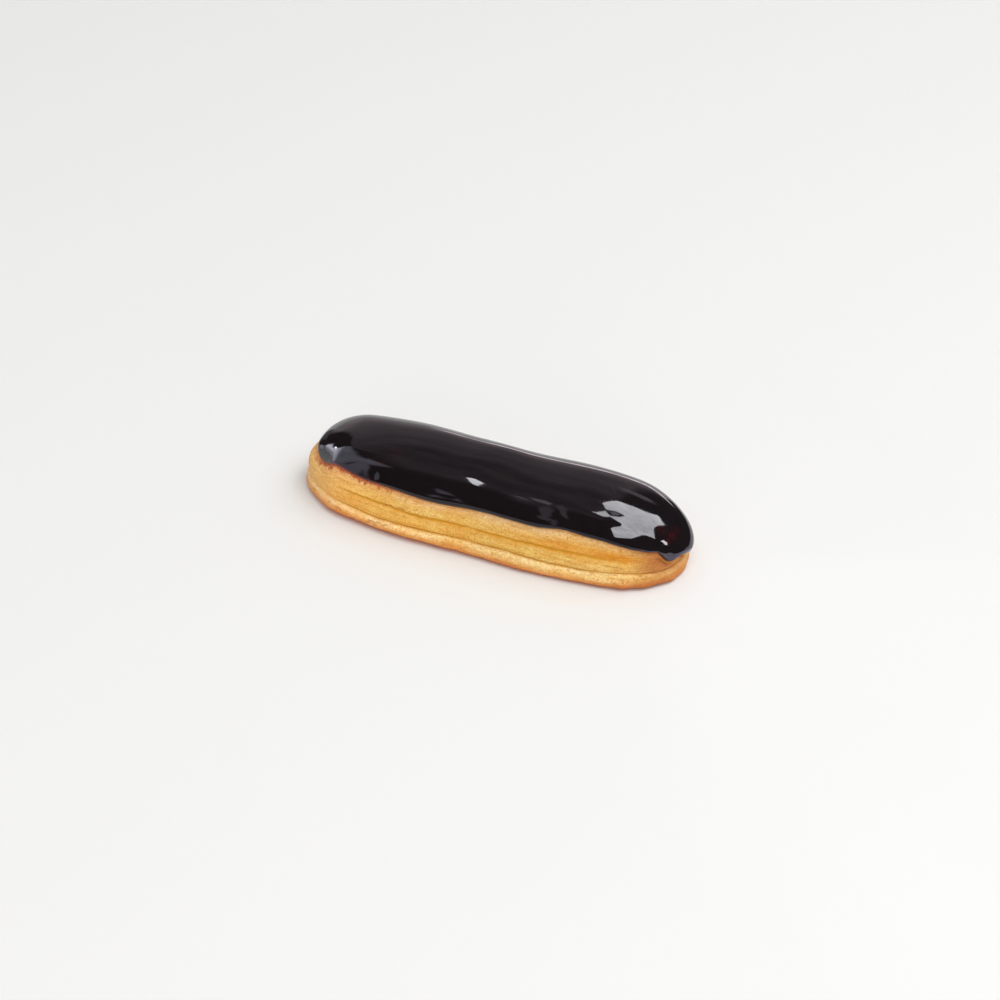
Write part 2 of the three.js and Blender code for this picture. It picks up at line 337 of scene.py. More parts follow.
# Relief of the crust: slow swellings, lengthwise strands, grain and pores.
px = S["x"] + S["nx"] * reaches
py = S["ny"] * reaches
pz = heights
TURN = LEN / PER
strand = layers(TURN * 16 + 0 * pz, pz / 1.1, 0, 21, 3, 16, 0.6)
strand_fine = layers(TURN * 44 + 0 * pz, pz / 0.42, 3.3, 31, 2, 44, 0.6)
swell = noise(px / 11, py / 11, pz / 9, 41) * 0.13 + noise(px / 5, py / 5, pz / 4, 42) * 0.06
grain = noise(px / 0.7, py / 0.7, pz / 0.55, 43)
pock = smooth(0.62, 0.86, noise(px / 1.5, py / 1.5, pz / 0.9, 44)) * smooth(-0.1, 0.5, noise(px / 9, py / 9, pz / 4, 45))

# Cracks: station and height of both ends, half width and depth. Pores: station,
# height, radius and depth. Millimetres, stations along the outline.
CRACKS = [
    (0.62, 10.6, 1.05, 11.2, 0.20, 0.20), (1.0, 11.1, 1.35, 10.9, 0.14, 0.12), (15.36, 8.9, 15.52, 8.4, 0.14, 0.12),
    (15.55, 4.1, 15.95, 3.3, 0.22, 0.22), (0.12, 2.2, 0.62, 2.9, 0.20, 0.20), (0.45, 3.3, 0.80, 3.7, 0.16, 0.15),
    (15.0, 12.6, 15.45, 13.1, 0.12, 0.10), (14.5, 7.2, 15.1, 7.0, 0.13, 0.12), (14.2, 10.4, 14.9, 10.9, 0.12, 0.10),
    (4.3, 7.6, 4.62, 7.1, 0.16, 0.16), (4.95, 5.9, 5.55, 5.5, 0.26, 0.30), (5.5, 5.6, 6.25, 4.6, 0.28, 0.35),
    (5.18, 11.2, 5.34, 9.2, 0.24, 0.35), (5.02, 9.9, 5.24, 8.6, 0.18, 0.22), (5.3, 8.4, 5.75, 7.8, 0.16, 0.18),
    (6.05, 4.0, 6.2, 3.3, 0.26, 0.30), (3.5, 7.2, 3.8, 7.1, 0.12, 0.12), (4.1, 8.9, 4.5, 8.5, 0.13, 0.14),
    (8.6, 7.4, 9.1, 7.2, 0.16, 0.16), (10.2, 11.6, 10.8, 11.4, 0.15, 0.14), (11.7, 4.0, 12.2, 3.6, 0.20, 0.20),
    (12.7, 9.0, 13.2, 9.3, 0.16, 0.15), (7.1, 8.2, 7.6, 7.6, 0.18, 0.20), (13.4, 5.2, 13.9, 5.0, 0.15, 0.15),
]
PORES = [
    (15.97, 14.4, 0.28, 0.25), (0.48, 3.2, 0.30, 0.25), (0.80, 11.4, 0.26, 0.22), (4.48, 4.3, 0.30, 0.28),
    (4.60, 4.0, 0.22, 0.22), (4.77, 4.1, 0.30, 0.28), (4.35, 8.4, 0.24, 0.22), (4.64, 7.3, 0.24, 0.22),
    (3.70, 7.2, 0.22, 0.20), (5.10, 3.0, 0.24, 0.22), (1.59, 9.6, 0.18, 0.14), (2.51, 12.4, 0.20, 0.14),
    (0.30, 12.9, 0.22, 0.16), (7.4, 5.0, 0.28, 0.25), (8.9, 12.2, 0.24, 0.20), (9.8, 3.4, 0.26, 0.22),
    (11.2, 8.6, 0.24, 0.20), (12.4, 12.8, 0.26, 0.22), (13.1, 3.6, 0.28, 0.22), (14.1, 12.1, 0.2, 0.15),
]
crack = 0 * heights
cut = 0 * heights
ragged = noise(px / 0.9, py / 0.9, pz / 0.9, 46)
for w0, z0, w1, z1, half, deep in CRACKS:
    t = ((W - w0 + 24) % 16 - 8) / (w1 - w0)
    mid = z0 + (z1 - z0) * t + 0.22 * noise(LEN / 1.7, 0, 0, 47) + 0.1 * noise(LEN / 0.6, 0, 0, 48)
    on = smooth(-0.06, 0.1, t) * (1 - smooth(0.88, 1.06, t)) * np.clip(0.75 + 0.9 * ragged, 0, 1)
    d = np.exp(-((pz - mid) / half) ** 2) * on
    crack = np.maximum(crack, d)
    cut = np.maximum(cut, d * deep)
for w0, z0, radius, deep in PORES:
    k = int(np.argmin(np.abs((W - w0 + 24) % 16 - 8)))
    along = (LEN - LEN[k] + PER / 2) % PER - PER / 2
    d = np.exp(-((along / radius) ** 2 + ((pz - z0) / (radius * 0.8)) ** 2))
    crack = np.maximum(crack, d)
    cut = np.maximum(cut, d * deep)
# The right end is wrinkled, and the foot is uneven.
end = smooth(4.2, 5.0, W) * (1 - smooth(7.4, 8.4, W))
wrinkle = layers(px / 3.4, py / 3.4, pz / 1.8, 49, 2) * 0.16 * (0.25 + 0.75 * end)
foot_wave = noise(TURN * 34, 0, 0, 50, 34) * 0.10 + noise(TURN * 90, 0, 0, 51, 90) * 0.06
for w0, half, rise_ in ((4.45, 0.09, 0.35), (4.68, 0.08, -0.25), (4.92, 0.09, 0.30), (5.2, 0.1, -0.2), (5.5, 0.1, 0.4), (6.1, 0.15, -0.3)):
    foot_wave = foot_wave + rise_ * near(W, w0, half)
foot_wave = foot_wave * (1 - smooth(1.5, 4.5, heights)) * smooth(0.0, 0.9, heights)
lift = smooth(0.0, 2.2, heights)
relief = (swell + strand * 0.045 + strand_fine * 0.022 + grain * 0.018 - pock * 0.07 + wrinkle) * lift - cut + foot_wave
reaches = reaches + relief


def dome(s, reach, rise, below, steps, lift=None):
    """A quarter dome from the given reach, `rise` above the icing's edge, up
    to `below` the iced ridge. Returns its rows and its outward slopes."""
    rows, out = [], []
    for k in range(steps):
        t = k / steps * math.pi / 2
        r = reach * math.cos(t)
        foot = s["base"] + rise
        top = ridge_height(s["x"] + s["nx"] * r) - below
        z = foot + (top - foot) * math.sin(t) + s["wave"] * max(1 - t / WAVE_FADE, 0) ** 2
        rows.append((r, z))
        nr, nz = math.cos(t) / reach, math.sin(t) / (top - foot)
        size = np.hypot(nr, nz)
        out.append((nr / size, nz / size))
    return rows, out


rows = [(reaches[j], heights[j]) for j in range(len(heights))] + dome(S, S["edge_r"], 0, ICING, 9)[0][1:]
choux, _ = loft("choux_crust", rows, S, [ICING], "flat")

flat = lambda a: np.broadcast_to(a, heights.shape).reshape(-1)
band_low = heights - S["low_z"]
band_high = heights - S["high_z"]
band = np.where(band_low < 0, heights / S["low_z"],
                np.where(band_high < 0, 1 + band_low / (S["high_z"] - S["low_z"]),
                         2 + band_high / (S["edge_z"] - S["high_z"])))
attribute(choux, "band", flat(band / 3))
breadth = 0.46 + 0.20 * noise(LEN / PER * 30, 0, 0, 13, 30) + 0.08 * noise(LEN / PER * 120, 0, 0, 14, 120)
broken = 0.75 + 0.4 * noise(LEN / PER * 60, 0, 0, 11, 60) + 0.25 * noise(LEN / PER * 240, 0, 0, 12, 240)
# Crease masks: ochre and brown lines along both creases, and a softer ochre band under the upper one. These are partly
# the crust's own colour and partly painted shade in the creases.
attribute(choux, "crease_low", flat(np.exp(-np.abs((band_low - 0.05) / (breadth * 0.5)) ** 2.0) * np.clip(ring(LOW_DEPTH, W) / 0.3 * broken, 0, 1)))
attribute(choux, "crease_high", flat(np.exp(-np.abs(band_high / breadth) ** 2.2) * np.clip(ring(HIGH_DEPTH, W) / 0.25 * broken, 0, 1)))
attribute(choux, "near_crease", flat(np.exp(-np.abs((band_high + 0.5) / 0.8) ** 2) * np.clip(ring(HIGH_DEPTH, W) / 0.3, 0, 1)))
attribute(choux, "crack", flat(crack))
attribute(choux, "strand", flat(np.clip(0.5 + 0.35 * strand + 0.3 * strand_fine, 0, 1)))
attribute(choux, "pock", flat(pock))
right = smooth(4.5, 5.2, W) * (1 - smooth(7.0, 8.0, W))
left = np.clip(near(W, 14.2, 0.85) + near(W, 12.6, 0.8) * 0.7, 0, 1)
attribute(choux, "pale", flat(left + 0 * band))
attribute(choux, "tan", flat(right * (0.55 + 0.45 * smooth(0.9, 1.1, band))))
attribute(choux, "gold", flat(np.clip(near(W, 3.3, 0.75) * 0.7 + near(W, 4.4, 0.5) + near(W, 9.6, 1.0) * 0.8, 0, 1)
                              * smooth(1.75, 2.1, band) * (1 - smooth(2.3, 2.75, band))))
attribute(choux, "cream", flat(np.clip(near(W, 4.2, 0.85) + near(W, 10.4, 1.1) * 0.6, 0, 1)
                               * smooth(0.3, 0.7, band) * (1 - smooth(1.2, 1.7, band))))
# Darker brown low on the crust, near the front-left and at the right end.
attribute(choux, "low_darker", flat(np.clip(near(W, 0.6, 1.1) + near(W, 5.0, 0.8) * 0.8, 0, 1) * (1 - smooth(0.35, 0.85, band))))
attribute(choux, "warm", flat(near(W, 0.5, 1.3) + 0 * band))
attribute(choux, "peach", flat(near(W, 15.6, 0.75) + 0 * band))
# Darker, browner crust and more wrinkle lines at the right end.
attribute(choux, "right_end", flat(near(W, 5.2, 0.7) + 0 * band))
attribute(choux, "dark_crease", flat(smooth(4.7, 5.3, W) * (1 - smooth(6.6, 7.4, W)) + 0 * band))
teeth = np.clip(0.5 + 0.9 * noise(LEN / 1.1, 0, 0, 66) + 0.5 * noise(LEN / 0.5, 0, 0, 67), 0, 1) * 1.3
attribute(choux, "stain", flat(smooth(-1.0 - teeth, -0.4 - teeth * 0.6, heights - S["edge_z"]) * np.clip(near(W, 15.3, 0.8) + near(W, 0.1, 0.85), 0, 1)))

# ------------------------------------------------------------------- icing --
T = stations(200, 150)
FOOT = 1.0
thin = np.clip(near(T["w"], 15.2, 0.8) + near(T["w"], 0.05, 0.75), 0, 1)
rag = thin * (noise(T["len"] / 1.3, 0, 0, 64) * 0.22 + noise(T["len"] / 2.9, 0, 0, 65) * 0.2)
bulge = 0.42 - 0.27 * smooth(3.3, 4.4, T["w"]) * (1 - smooth(6.5, 8.0, T["w"])) + 0.58 * thin
roll = 2.6 + 0.6 * thin
lip_r = T["edge_r"] + T["lip"]
irows = []
for t in np.arange(9) / 9:
    a = -math.pi / 2 * (1 - t)
    irows.append((T["edge_r"] - 0.06 + (T["lip"] + 0.06) * math.cos(a), T["edge_z"] + FOOT + 1.05 * math.sin(a) + rag * (1 - t)))
body, slopes = dome(T, lip_r - bulge, FOOT, 0, 78)
for (r, z), (nr, nz) in zip(body, slopes):
    x = T["x"] + T["nx"] * r
    y = T["ny"] * r
    high = z - T["base"] - FOOT - T["wave"]
    up = np.clip(high / roll, 0, 1)
    r = r + bulge * (1 - up) ** 2 * (1 + 2 * up * (1 - thin))
    lump = (noise(x / 15, y / 8, z / 9, 61) * 0.05 + noise(x / 7, y / 5, z / 5, 62) * 0.014
            + noise(x / 9, y / 1.6, z / 1.9, 63) * 0.006) * smooth(0.0, 4.0, high)
    irows.append((r + lump * nr, z + lump * nz))
inner = dome(T, T["edge_r"] - 0.12, 0.15, ICING + 0.15, 8)[0]
icing, _ = loft("icing_cap", irows, T, [0.0, ICING + 0.15], inner)

flat_i = lambda rows_: np.array([np.broadcast_to(a, T["w"].shape) for a in rows_]).reshape(-1)
attribute(icing, "above", flat_i([z - T["edge_z"] for r, z in irows]) / 10)
attribute(icing, "thin", flat_i([thin for _ in irows]))
attribute(icing, "round", flat_i([T["len"] / T["per"] for _ in irows]))

BLUSHES = [(-31.8, -8.0, 26.1, 2.6, 0.3), (-35.1, -12.2, 23.5, 0.8, 0.5), (63.8, -2.7, 15.7, 1.6, 1.0),
           (63.5, -5.8, 15.4, 1.0, 1.0), (64.2, 0.4, 15.6, 1.2, 0.8), (60.0, -3.6, 18.1, 2.2, 0.5)]
co = np.zeros(len(icing.data.vertices) * 3, np.float32)
icing.data.vertices.foreach_get("co", co)
co = co.reshape(-1, 3)[:len(irows) * len(T["w"])] / MM
blush = 0
for x, y, z, radius, much in BLUSHES:
    blush = np.maximum(blush, much * np.exp(-((co - (x, y, z)) ** 2).sum(1) / radius ** 2))
attribute(icing, "blush", blush)

# Keep both just inside the frame's box.
lo, hi = np.full(3, 1e9), np.full(3, -1e9)
for obj in (choux, icing):
    co = np.zeros(len(obj.data.vertices) * 3, np.float32)
    obj.data.vertices.foreach_get("co", co)
    co = co.reshape(-1, 3)
    lo, hi = np.minimum(lo, co.min(0)), np.maximum(hi, co.max(0))
fit = [min(1.0, cad_box[1][a] / hi[a], *( [cad_box[0][a] / lo[a]] if a < 2 else [])) for a in range(3)]
for obj in (choux, icing):
    co = np.zeros(len(obj.data.vertices) * 3, np.float32)
    obj.data.vertices.foreach_get("co", co)
    co = (co.reshape(-1, 3) * (np.array(fit) - [2e-5, 2e-5, 2e-5])).astype(np.float32)
    obj.data.vertices.foreach_set("co", co.reshape(-1))
    obj.data.update()

# ---------------------------------------------------------------- materials --
def srgb(r, g, b):
    f = lambda c: c / 12.92 if c <= 0.04045 else ((c + 0.055) / 1.055) ** 2.4
    return (f(r / 255), f(g / 255), f(b / 255), 1.0)


class Nodes:
    def __init__(self, name):
        self.mat = bpy.data.materials.new(name)
        self.mat.use_nodes = True
        self.tree = self.mat.node_tree
        self.bsdf = self.tree.nodes["Principled BSDF"]

    def add(self, kind, **props):
        n = self.tree.nodes.new(kind)
        for k, v in props.items():
            setattr(n, k, v)
        return n

    def link(self, a, b):
        self.tree.links.new(a, b)

    def attr(self, name):
        return self.add("ShaderNodeAttribute", attribute_name=name).outputs["Fac"]

    def put(self, socket, value):
        if isinstance(value, (int, float, tuple)):
            socket.default_value = value
        else:
            self.link(value, socket)

    def math(self, op, a, b=None, c=None, clamp=False):
        n = self.add("ShaderNodeMath", operation=op, use_clamp=clamp)
        for s, v in zip(n.inputs, (a, b, c)):
            if v is not None:
                self.put(s, v)
        return n.outputs[0]

    def mix(self, fac, a, b, mode="MIX"):
        n = self.add("ShaderNodeMix", data_type="RGBA", blend_type=mode)
        self.put(n.inputs[0], fac)
        self.put(n.inputs[6], a)
        self.put(n.inputs[7], b)
        return n.outputs[2]

    def noise(self, scale, detail=2.0, rough=0.5, vector=None, dist=0.0):
        n = self.add("ShaderNodeTexNoise")
        n.inputs["Scale"].default_value = scale
        n.inputs["Detail"].default_value = detail
        n.inputs["Roughness"].default_value = rough
        n.inputs["Distortion"].default_value = dist
        n_in = vector if vector is not None else self.coord()
        self.link(n_in, n.inputs["Vector"])
        return n.outputs["Fac"]

    def coord(self):
        if not hasattr(self, "_c"):
            self._c = self.add("ShaderNodeTexCoord").outputs["Object"]
        return self._c

    def ramp(self, fac, stops):
        n = self.add("ShaderNodeValToRGB")
        e = n.color_ramp.elements
        while len(e) > 1:
            e.remove(e[-1])
        e[0].position, e[0].color = stops[0]
        for p, c in stops[1:]:
            k = e.new(p)
            k.color = c
        self.link(fac, n.inputs[0])
        return n.outputs["Color"]

    def bump(self, height, distance, strength=1.0, normal=None):
        n = self.add("ShaderNodeBump")
        n.inputs["Strength"].default_value = strength
        n.inputs["Distance"].default_value = distance
        self.link(height, n.inputs["Height"])
        if normal is not None:
            self.link(normal, n.inputs["Normal"])
        return n.outputs["Normal"]


m = Nodes("choux_crust")
col = m.ramp(m.attr("band"), [
    (0.00 / 3, srgb(214, 112, 36)),
    (0.20 / 3, srgb(206, 108, 36)),
    (0.32 / 3, srgb(206, 120, 48)),
    (0.46 / 3, srgb(219, 148, 72)),
    (0.60 / 3, srgb(232, 184, 108)),
    (0.76 / 3, srgb(243, 208, 138)),
    (0.88 / 3, srgb(245, 212, 142)),
    (0.98 / 3, srgb(238, 197, 110)),
    (1.07 / 3, srgb(233, 186, 88)),
    (1.45 / 3, srgb(238, 193, 95)),
    (1.85 / 3, srgb(237, 191, 98)),
    (2.10 / 3, srgb(239, 195, 98)),
    (2.35 / 3, srgb(238, 197, 105)),
    (2.60 / 3, srgb(237, 195, 114)),
    (2.85 / 3, srgb(236, 190, 124)),
    (3.00 / 3, srgb(230, 174, 114)),
])
col = m.mix(m.math("MULTIPLY", m.attr("pale"), 0.60), col, srgb(244, 190, 128))
col = m.mix(m.math("MULTIPLY", m.attr("tan"), 0.85), col, srgb(188, 116, 44))
col = m.mix(m.math("MULTIPLY", m.attr("cream"), 0.60), col, srgb(248, 210, 132))
col = m.mix(m.math("MULTIPLY", m.attr("gold"), 0.95), col, srgb(226, 146, 8))

# Soft lengthwise blotches, and a fine crisp grain.
flow = m.add("ShaderNodeMapping")
flow.inputs["Scale"].default_value = (1.0, 1.0, 2.2)
m.link(m.coord(), flow.inputs["Vector"])
flow = flow.outputs["Vector"]


def shade(col, fac, low, high, dark, light):
    """Darkens and lightens about the middle of a 0-1 pattern."""
    tone = m.ramp(fac, [(low, dark), ((low + high) / 2, (1, 1, 1, 1)), (high, light)])
    return m.mix(1.0, col, tone, "MULTIPLY")


col = shade(col, m.attr("strand"), 0.15, 0.85, (0.94, 0.88, 0.74, 1), (1.05, 1.09, 1.20, 1))
hue = m.noise(60.0, 2.0, 0.5)
col = shade(col, hue, 0.36, 0.64, (0.99, 0.93, 0.80, 1), (1.0, 1.05, 1.18, 1))
blotch = m.noise(170.0, 2.0, 0.5, flow)
col = shade(col, blotch, 0.32, 0.68, (0.97, 0.90, 0.78, 1), (1.03, 1.09, 1.24, 1))
runs = m.noise(640.0, 2.0, 0.6, flow)
col = shade(col, runs, 0.33, 0.67, (0.93, 0.86, 0.72, 1), (1.04, 1.10, 1.22, 1))
grains = m.noise(2100.0, 1.0, 0.6)
col = shade(col, grains, 0.33, 0.67, (0.91, 0.85, 0.73, 1), (1.06, 1.10, 1.19, 1))
pale_spots = m.noise(1900.0, 1.0, 0.5)
col = m.mix(m.math("MULTIPLY_ADD", pale_spots, 2.4, -1.6, clamp=True), col, srgb(250, 206, 152))
specks = m.noise(1500.0, 1.0, 0.5, dist=0.4)
col = m.mix(m.math("MULTIPLY_ADD", specks, 6.0, -3.6, clamp=True), col, srgb(214, 138, 62))
# Darker brown low on the crust, near the front-left and at the right end.
col = m.mix(m.math("MULTIPLY", m.attr("low_darker"), 0.6), col, srgb(190, 108, 46))
col = m.mix(m.attr("warm"), col, (1.08, 1.035, 1.04, 1.0), "MULTIPLY")
col = m.mix(m.attr("peach"), col, (1.03, 0.955, 0.98, 1.0), "MULTIPLY")
# Darker and browner at the right end.
col = m.mix(m.attr("right_end"), col, (0.88, 0.83, 0.77, 1.0), "MULTIPLY")
# Thin long wrinkles, most at the end under the drip, painted only as darker brown lines. They are partly the crust's
# colour and partly painted shade in the folds.
drawn = m.add("ShaderNodeMapping")
drawn.inputs["Scale"].default_value = (1.0, 1.0, 4.0)
m.link(m.coord(), drawn.inputs["Vector"])
lines = m.math("ABSOLUTE", m.math("SUBTRACT", m.noise(290.0, 3.0, 0.6, drawn.outputs["Vector"], 0.4), 0.5))
lines = m.math("MULTIPLY_ADD", lines, -26.0, 1.0, clamp=True)
lines = m.math("MULTIPLY", lines, m.math("MULTIPLY_ADD", m.attr("right_end"), 0.46, 0.16))
col = m.mix(lines, col, srgb(160, 96, 46))
# Crease lines, darker brown at the right end: partly the crust's colour, partly painted shade in the creases.
brown = m.mix(m.attr("dark_crease"), srgb(204, 140, 34), srgb(158, 98, 46))
col = m.mix(m.math("MULTIPLY", m.attr("near_crease"), 0.42), col, srgb(230, 162, 50))
col = m.mix(m.math("POWER", m.attr("crease_high"), 1.35), col, srgb(208, 146, 12))
col = m.mix(m.math("MULTIPLY", m.attr("crease_low"), 0.92), col, brown)
# Pits and cracks, cut into the crust, are also painted darker brown. This is partly the crust's colour and partly
# painted shade in the hollows.
col = m.mix(m.math("MULTIPLY", m.attr("pock"), 0.45), col, srgb(196, 128, 60))
col = m.mix(m.math("MULTIPLY", m.attr("crack"), 0.80), col, srgb(172, 98, 44))
fringe = m.noise(1500.0, 2.0, 0.6)
stain = m.math("MULTIPLY", m.attr("stain"), m.math("MULTIPLY_ADD", fringe, 3.0, -0.6, clamp=True), clamp=True)
col = m.mix(stain, col, srgb(190, 88, 36))
m.link(col, m.bsdf.inputs["Base Color"])
rough = m.math("MULTIPLY_ADD", grains, 0.2, 0.45)
m.link(rough, m.bsdf.inputs["Roughness"])
m.bsdf.inputs["Specular IOR Level"].default_value = 0.35
m.bsdf.inputs["Subsurface Weight"].default_value = 0.2
m.bsdf.inputs["Subsurface Radius"].default_value = (1.0, 0.42, 0.14)
m.bsdf.inputs["Subsurface Scale"].default_value = 0.0022
micro = m.noise(3600.0, 2.0, 0.6)
nrm = m.bump(runs, 0.00016, 0.6)
nrm = m.bump(grains, 0.00012, 0.7, nrm)
nrm = m.bump(micro, 0.00005, 0.5, nrm)
m.link(nrm, m.bsdf.inputs["Normal"])
choux.data.materials.append(m.mat)

g = Nodes("chocolate_icing")
streak = g.noise(240.0, 2.0, 0.5)
col = g.mix(streak, srgb(17, 13, 16), srgb(24, 18, 20))
fringe = g.noise(1500.0, 2.0, 0.6)
spots = g.noise(1100.0, 2.0, 0.6)
spots = g.math("MULTIPLY", g.attr("blush"), g.math("MULTIPLY_ADD", spots, 3.2, -1.2, clamp=True), clamp=True)
col = g.mix(spots, col, srgb(70, 20, 18))
edge = g.math("MULTIPLY_ADD", g.attr("above"), -7.0, 1.0, clamp=True)
edge = g.math("MULTIPLY", edge, g.math("MULTIPLY_ADD", fringe, 3.6, -1.1, clamp=True), clamp=True)
edge = g.math("MULTIPLY", edge, g.attr("thin"), clamp=True)
col = g.mix(edge, col, srgb(164, 56, 20))
g.link(col, g.bsdf.inputs["Base Color"])
g.bsdf.inputs["IOR"].default_value = 1.5
lip = g.math("MULTIPLY_ADD", g.attr("above"), -8.0, 1.3, clamp=True)
# Faint lengthwise strokes in the sheen.
strokes = g.add("ShaderNodeMapping")
strokes.inputs["Scale"].default_value = (0.06, 1.0, 1.0)
g.link(g.coord(), strokes.inputs["Vector"])
strokes = g.noise(900.0, 2.0, 0.55, strokes.outputs["Vector"], 0.3)
sheen = g.ramp(strokes, [(0.34, (0.78, 0.80, 0.86, 1)), (0.5, (0.93, 0.95, 1.0, 1)), (0.66, (1.0, 1.0, 1.0, 1))])
g.link(g.mix(lip, sheen, (0.84, 0.84, 1.0, 1.0)), g.bsdf.inputs["Specular Tint"])
rough = g.math("MULTIPLY_ADD", streak, 0.04, 0.03)
g.link(rough, g.bsdf.inputs["Roughness"])
icing.data.materials.append(g.mat)

for piece, node in ((choux, "choux"), (icing, "icing")):
    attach(piece, "root")
    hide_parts(node)

# ------------------------------------------------------------------- stage --
fm = bpy.data.materials.new("floor")
fm.use_nodes = True
fb = fm.node_tree.nodes["Principled BSDF"]
fb.inputs["Base Color"].default_value = srgb(240, 240, 239)
fb.inputs["Roughness"].default_value = 0.7
fb.inputs["Specular IOR Level"].default_value = 0.2
fmesh = bpy.data.meshes.new("floor")
h = 4.0
fmesh.from_pydata([(-h, -h, 0), (h, -h, 0), (h, h, 0), (-h, h, 0)], [], [(0, 1, 2, 3)])
floor = bpy.data.objects.new("floor", fmesh)
bpy.context.scene.collection.objects.link(floor)
floor.data.materials.append(fm)
floor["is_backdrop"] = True

# ------------------------------------------------------------------ camera --
AZ, EL, DIST = math.radians(22.2), math.radians(37.5), 0.786
target = np.array([3.121, -1.817, 12.0]) * MM
back = np.array([math.sin(AZ) * math.cos(EL), -math.cos(AZ) * math.cos(EL), math.sin(EL)])
cam = bpy.data.objects.new("camera", bpy.data.cameras.new("camera"))
bpy.context.scene.collection.objects.link(cam)
cam.data.lens = 85.0
cam.data.sensor_width = 36.0
cam.data.clip_start = 0.01
cam.data.clip_end = 30.0
from mathutils import Vector
cam.location = Vector(target + back * DIST)
cam.rotation_mode = "QUATERNION"
cam.rotation_quaternion = Vector(-back).to_track_quat("-Z", "Y")
bpy.context.scene.camera = cam

# ------------------------------------------------------------------ lights --
# A white dome, warm near the floor, lights the eclair; in glossy reflections the room is dim,
# with a grey wall at the far side.
FAR = np.array([-math.sin(AZ), math.cos(AZ), 0.0])
RIGHT = np.array([math.cos(AZ), math.sin(AZ), 0.0])


def towards(az, el):
    """World direction of a compass angle, turned from the far side to the right."""
    a, e = math.radians(az), math.radians(el)
    return math.cos(e) * (math.cos(a) * FAR + math.sin(a) * RIGHT) + np.array([0, 0, math.sin(e)])


world = bpy.data.worlds.new("studio")
bpy.context.scene.world = world
world.use_nodes = True
wt = world.node_tree
bg = wt.nodes["Background"]


def wnode(kind, **props):
    n = wt.nodes.new(kind)
    for k, v in props.items():
        setattr(n, k, v)
    return n


def wmath(op, a, b=None, c=None, clamp=False):
    n = wnode("ShaderNodeMath", operation=op, use_clamp=clamp)
    for sock, v in zip(n.inputs, (a, b, c)):
        if v is None:
            continue
        if isinstance(v, (int, float)):
            sock.default_value = v
        else:
            wt.links.new(v, sock)
    return n.outputs[0]


def wdot(vector, axis):
    n = wnode("ShaderNodeVectorMath", operation="DOT_PRODUCT")
    wt.links.new(vector, n.inputs[0])
    n.inputs[1].default_value = tuple(axis)
    return n.outputs["Value"]


def wstep(x, a, b):
    n = wnode("ShaderNodeMapRange", interpolation_type="SMOOTHSTEP")
    wt.links.new(x, n.inputs["Value"])
    n.inputs["From Min"].default_value = a
    n.inputs["From Max"].default_value = b
    return n.outputs["Result"]


ray = wnode("ShaderNodeTexCoord").outputs["Generated"]
wz = wmath("ARCSINE", wdot(ray, (0, 0, 1)))
waz = wmath("ARCTAN2", wdot(ray, RIGHT), wdot(ray, FAR))


def rise(x, a, b):
    """0 at the angle a, 1 at the angle b, in degrees."""
    return wstep(x, math.radians(a), math.radians(b))


def times(*parts):
    out = parts[0]
    for p in parts[1:]:
        out = wmath("MULTIPLY", out, p)
    return out


def blob(az, el, core, rim):
    """A soft round patch of the room about a compass angle and height."""
    return wstep(wdot(ray, towards(az, el)), math.cos(math.radians(rim)), math.cos(math.radians(core)))


def clouds(scale, low, high):
    n = wnode("ShaderNodeTexNoise")
    wt.links.new(ray, n.inputs["Vector"])
    n.inputs["Scale"].default_value = scale
    n.inputs["Detail"].default_value = 2.0
    return wmath("MULTIPLY_ADD", n.outputs["Fac"], high - low, low)


# The grey wall at the far side is brightest near the floor.
low = rise(wz, 24, -4)
edge = wmath("MULTIPLY_ADD", wmath("MAXIMUM", wmath("SUBTRACT", wz, math.radians(30)), 0.0), 1.4, waz)
wall = times(rise(edge, -29, -24), rise(waz, 34, 22), rise(wz, 62, 46), clouds(5.0, 0.5, 1.5))
wall = times(wall, wmath("MULTIPLY_ADD", low, 0.30, 0.33))
above = times(rise(wz, 50, 64), rise(waz, -125, -100), rise(waz, 60, 20), clouds(4.0, 0.0, 0.4))
line = times(rise(wz, -0.5, 0.5), rise(wz, 4.6, 3.4), rise(waz, 1, 6), rise(waz, 34, 31), clouds(24.0, 0.6, 5.6))
# A cloudy bluish window at the left, brightest in one spot.
top_edge = wmath("MULTIPLY_ADD", wmath("MAXIMUM", wmath("ADD", waz, math.radians(66)), 0.0), 0.35, wz)
pane = times(rise(waz, -113, -107), rise(waz, -46, -49), rise(top_edge, 53, 48), clouds(7.0, 0.7, 1.6))
glow = wmath("ADD", times(blob(-49, 15, 2, 20), pane), times(blob(-48, 13, 1, 9), rise(waz, -44, -48)))
glow = times(glow, rise(wz, 0, 9))
pane = wmath("MULTIPLY_ADD", glow, 1.6, pane)
room = wmath("ADD", wmath("ADD", wall, above), wmath("ADD", line, 0.05))
room = wmath("ADD", room, pane)
path = wnode("ShaderNodeLightPath")
mix = wnode("ShaderNodeMix", data_type="FLOAT")
wt.links.new(path.outputs["Is Glossy Ray"], mix.inputs[0])
wt.links.new(wmath("MULTIPLY_ADD", wdot(ray, RIGHT), 0.20, 0.487), mix.inputs[2])
wt.links.new(room, mix.inputs[3])
seen = wnode("ShaderNodeMix", data_type="FLOAT")
wt.links.new(path.outputs["Is Camera Ray"], seen.inputs[0])
wt.links.new(mix.outputs[0], seen.inputs[2])
seen.inputs[3].default_value = 0.86
wt.links.new(seen.outputs[0], bg.inputs["Strength"])
tint = wnode("ShaderNodeMix", data_type="RGBA")
wt.links.new(path.outputs["Is Glossy Ray"], tint.inputs[0])
warm = wnode("ShaderNodeMix", data_type="RGBA")
wt.links.new(rise(wz, 10, 26), warm.inputs[0])
warm.inputs[6].default_value = (1.0, 0.74, 0.50, 1.0)
